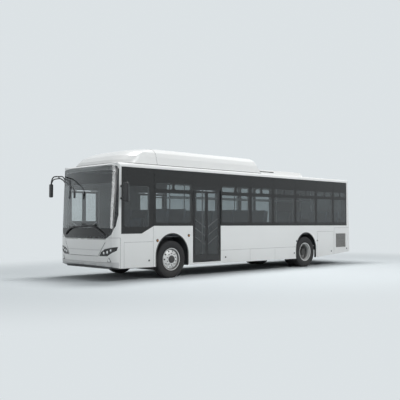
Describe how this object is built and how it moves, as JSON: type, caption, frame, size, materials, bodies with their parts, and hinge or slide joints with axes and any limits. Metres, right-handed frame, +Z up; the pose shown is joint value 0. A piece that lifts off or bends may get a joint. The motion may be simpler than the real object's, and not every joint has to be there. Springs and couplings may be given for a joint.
{
  "type": "electric bus",
  "caption": "Low-floor electric city bus with flush dark glazing, inswing double doors, steered front wheels, twin rear wheels, and a roof cover over the battery",
  "frame": {"origin": "on the ground under the middle of the overall box", "axes": "X forward, Y to the bus's own left, Z up"},
  "size_m": [10.838, 3.06, 3.515],
  "materials": {
    "white_paint": "gloss",
    "silver_paint": "satin",
    "dark_grey": "matte",
    "black": "matte",
    "glass": "gloss",
    "lamp": "gloss",
    "red_lamp": "gloss",
    "steel": "satin",
    "cast": "matte",
    "rubber": "matte",
    "fabric": "matte",
    "seat_shell": "matte",
    "floor_covering": "matte",
    "rail": "gloss"
  },
  "bodies": {
    "bus_body": {"floor": "floor_covering", "left_wall": "white_paint", "right_wall": "white_paint", "roof": "white_paint", "front_mask": "silver_paint", "front_bumper": "silver_paint", "windscreen": "glass", "side_glass": "glass", "rear_wall": "white_paint", "rear_glass": "glass", "roof_fairing": "white_paint", "battery_block": "dark_grey", "roof_pod": "white_paint", "head_lamps": "lamp", "tail_lamps": "red_lamp", "side_grilles": "black", "mirrors": "black", "wipers": "black", "dashboard": "dark_grey", "driver_seat": "fabric", "passenger_seats": "seat_shell", "handrails": "rail", "front_axle": "cast", "rear_axle": "cast", "drive_unit": "cast", "door_headers": "black"},
    "steer_left": {"knuckle_left": "cast"},
    "wheel_front_left": {"rim_front_left": "steel", "tyre_front_left": "rubber"},
    "wheel_rear_left": {"rim_rear_left": "steel", "tyre_rear_left": "rubber"},
    "steer_right": {"knuckle_right": "cast"},
    "wheel_front_right": {"rim_front_right": "steel", "tyre_front_right": "rubber"},
    "wheel_rear_right": {"rim_rear_right": "steel", "tyre_rear_right": "rubber"},
    "steering_wheel": {"steering_wheel": "black"},
    "left_mid_front_post": {"left_mid_front_arm": "dark_grey"},
    "left_mid_front_leaf": {"left_mid_front_leaf": "dark_grey", "left_mid_front_pane": "glass"},
    "left_mid_rear_post": {"left_mid_rear_arm": "dark_grey"},
    "left_mid_rear_leaf": {"left_mid_rear_leaf": "dark_grey", "left_mid_rear_pane": "glass"},
    "right_front_front_post": {"right_front_front_arm": "dark_grey"},
    "right_front_front_leaf": {"right_front_front_leaf": "dark_grey", "right_front_front_pane": "glass"},
    "right_front_rear_post": {"right_front_rear_arm": "dark_grey"},
    "right_front_rear_leaf": {"right_front_rear_leaf": "dark_grey", "right_front_rear_pane": "glass"},
    "right_mid_front_post": {"right_mid_front_arm": "dark_grey"},
    "right_mid_front_leaf": {"right_mid_front_leaf": "dark_grey", "right_mid_front_pane": "glass"},
    "right_mid_rear_post": {"right_mid_rear_arm": "dark_grey"},
    "right_mid_rear_leaf": {"right_mid_rear_leaf": "dark_grey", "right_mid_rear_pane": "glass"},
    "front_flap": {"front_flap": "silver_paint"},
    "rear_hatch": {"rear_hatch": "white_paint"}
  },
  "joints": [
    {"name": "steer_left", "type": "hinge", "parent": "bus_body", "child": "steer_left", "pos_m": [3.21, 0.985, 0.506], "axis": [0, 0, 1], "range_deg": [-40, 40]},
    {"name": "spin_front_left", "type": "hinge", "parent": "steer_left", "child": "wheel_front_left", "pos_m": [3.21, 1.112, 0.506], "axis": [0, 1, 0], "continuous": true},
    {"name": "spin_rear_left", "type": "hinge", "parent": "bus_body", "child": "wheel_rear_left", "pos_m": [-2.79, 1.112, 0.506], "axis": [0, 1, 0], "continuous": true},
    {"name": "steer_right", "type": "hinge", "parent": "bus_body", "child": "steer_right", "pos_m": [3.21, -0.985, 0.506], "axis": [0, 0, 1], "range_deg": [-40, 40]},
    {"name": "spin_front_right", "type": "hinge", "parent": "steer_right", "child": "wheel_front_right", "pos_m": [3.21, -1.112, 0.506], "axis": [0, 1, 0], "continuous": true},
    {"name": "spin_rear_right", "type": "hinge", "parent": "bus_body", "child": "wheel_rear_right", "pos_m": [-2.79, -1.112, 0.506], "axis": [0, 1, 0], "continuous": true},
    {"name": "steering_wheel_turn", "type": "hinge", "parent": "bus_body", "child": "steering_wheel", "pos_m": [4.59, 0.65, 1.14], "axis": [-0.5215, 0, 0.8533], "range_deg": [-720, 720]},
    {"name": "left_mid_front_turn", "type": "hinge", "parent": "bus_body", "child": "left_mid_front_post", "pos_m": [2.42, 1.243, 0.38], "axis": [0, 0, 1], "range_deg": [0, 84]},
    {"name": "left_mid_front_fold", "type": "hinge", "parent": "left_mid_front_post", "child": "left_mid_front_leaf", "pos_m": [2.16725, 1.243, 0.38], "axis": [0, 0, 1], "range_deg": [-168, 0]},
    {"name": "left_mid_rear_turn", "type": "hinge", "parent": "bus_body", "child": "left_mid_rear_post", "pos_m": [1.365, 1.243, 0.38], "axis": [0, 0, -1], "range_deg": [0, 84]},
    {"name": "left_mid_rear_fold", "type": "hinge", "parent": "left_mid_rear_post", "child": "left_mid_rear_leaf", "pos_m": [1.61775, 1.243, 0.38], "axis": [0, 0, -1], "range_deg": [-168, 0]},
    {"name": "right_front_front_turn", "type": "hinge", "parent": "bus_body", "child": "right_front_front_post", "pos_m": [4.875, -1.243, 0.38], "axis": [0, 0, -1], "range_deg": [0, 84]},
    {"name": "right_front_front_fold", "type": "hinge", "parent": "right_front_front_post", "child": "right_front_front_leaf", "pos_m": [4.641, -1.243, 0.38], "axis": [0, 0, -1], "range_deg": [-168, 0]},
    {"name": "right_front_rear_turn", "type": "hinge", "parent": "bus_body", "child": "right_front_rear_post", "pos_m": [3.895, -1.243, 0.38], "axis": [0, 0, 1], "range_deg": [0, 84]},
    {"name": "right_front_rear_fold", "type": "hinge", "parent": "right_front_rear_post", "child": "right_front_rear_leaf", "pos_m": [4.129, -1.243, 0.38], "axis": [0, 0, 1], "range_deg": [-168, 0]},
    {"name": "right_mid_front_turn", "type": "hinge", "parent": "bus_body", "child": "right_mid_front_post", "pos_m": [2.42, -1.243, 0.38], "axis": [0, 0, -1], "range_deg": [0, 84]},
    {"name": "right_mid_front_fold", "type": "hinge", "parent": "right_mid_front_post", "child": "right_mid_front_leaf", "pos_m": [2.16725, -1.243, 0.38], "axis": [0, 0, -1], "range_deg": [-168, 0]},
    {"name": "right_mid_rear_turn", "type": "hinge", "parent": "bus_body", "child": "right_mid_rear_post", "pos_m": [1.365, -1.243, 0.38], "axis": [0, 0, 1], "range_deg": [0, 84]},
    {"name": "right_mid_rear_fold", "type": "hinge", "parent": "right_mid_rear_post", "child": "right_mid_rear_leaf", "pos_m": [1.61775, -1.243, 0.38], "axis": [0, 0, 1], "range_deg": [-168, 0]},
    {"name": "front_flap_hinge", "type": "hinge", "parent": "bus_body", "child": "front_flap", "pos_m": [5.252, 0, 1.075], "axis": [0, -1, 0], "range_deg": [0, 65]},
    {"name": "rear_hatch_hinge", "type": "hinge", "parent": "bus_body", "child": "rear_hatch", "pos_m": [-5.465, 0, 1.405], "axis": [0, 1, 0], "range_deg": [0, 75]}
  ],
  "couplings": [
    {"joint": "steer_right", "follows": "steer_left", "ratio": 1},
    {"joint": "steering_wheel_turn", "follows": "steer_left", "ratio": 18},
    {"joint": "left_mid_front_fold", "follows": "left_mid_front_turn", "ratio": -2},
    {"joint": "left_mid_rear_turn", "follows": "left_mid_front_turn", "ratio": 1},
    {"joint": "left_mid_rear_fold", "follows": "left_mid_front_turn", "ratio": -2},
    {"joint": "right_front_front_fold", "follows": "right_front_front_turn", "ratio": -2},
    {"joint": "right_front_rear_turn", "follows": "right_front_front_turn", "ratio": 1},
    {"joint": "right_front_rear_fold", "follows": "right_front_front_turn", "ratio": -2},
    {"joint": "right_mid_front_fold", "follows": "right_mid_front_turn", "ratio": -2},
    {"joint": "right_mid_rear_turn", "follows": "right_mid_front_turn", "ratio": 1},
    {"joint": "right_mid_rear_fold", "follows": "right_mid_front_turn", "ratio": -2}
  ]
}
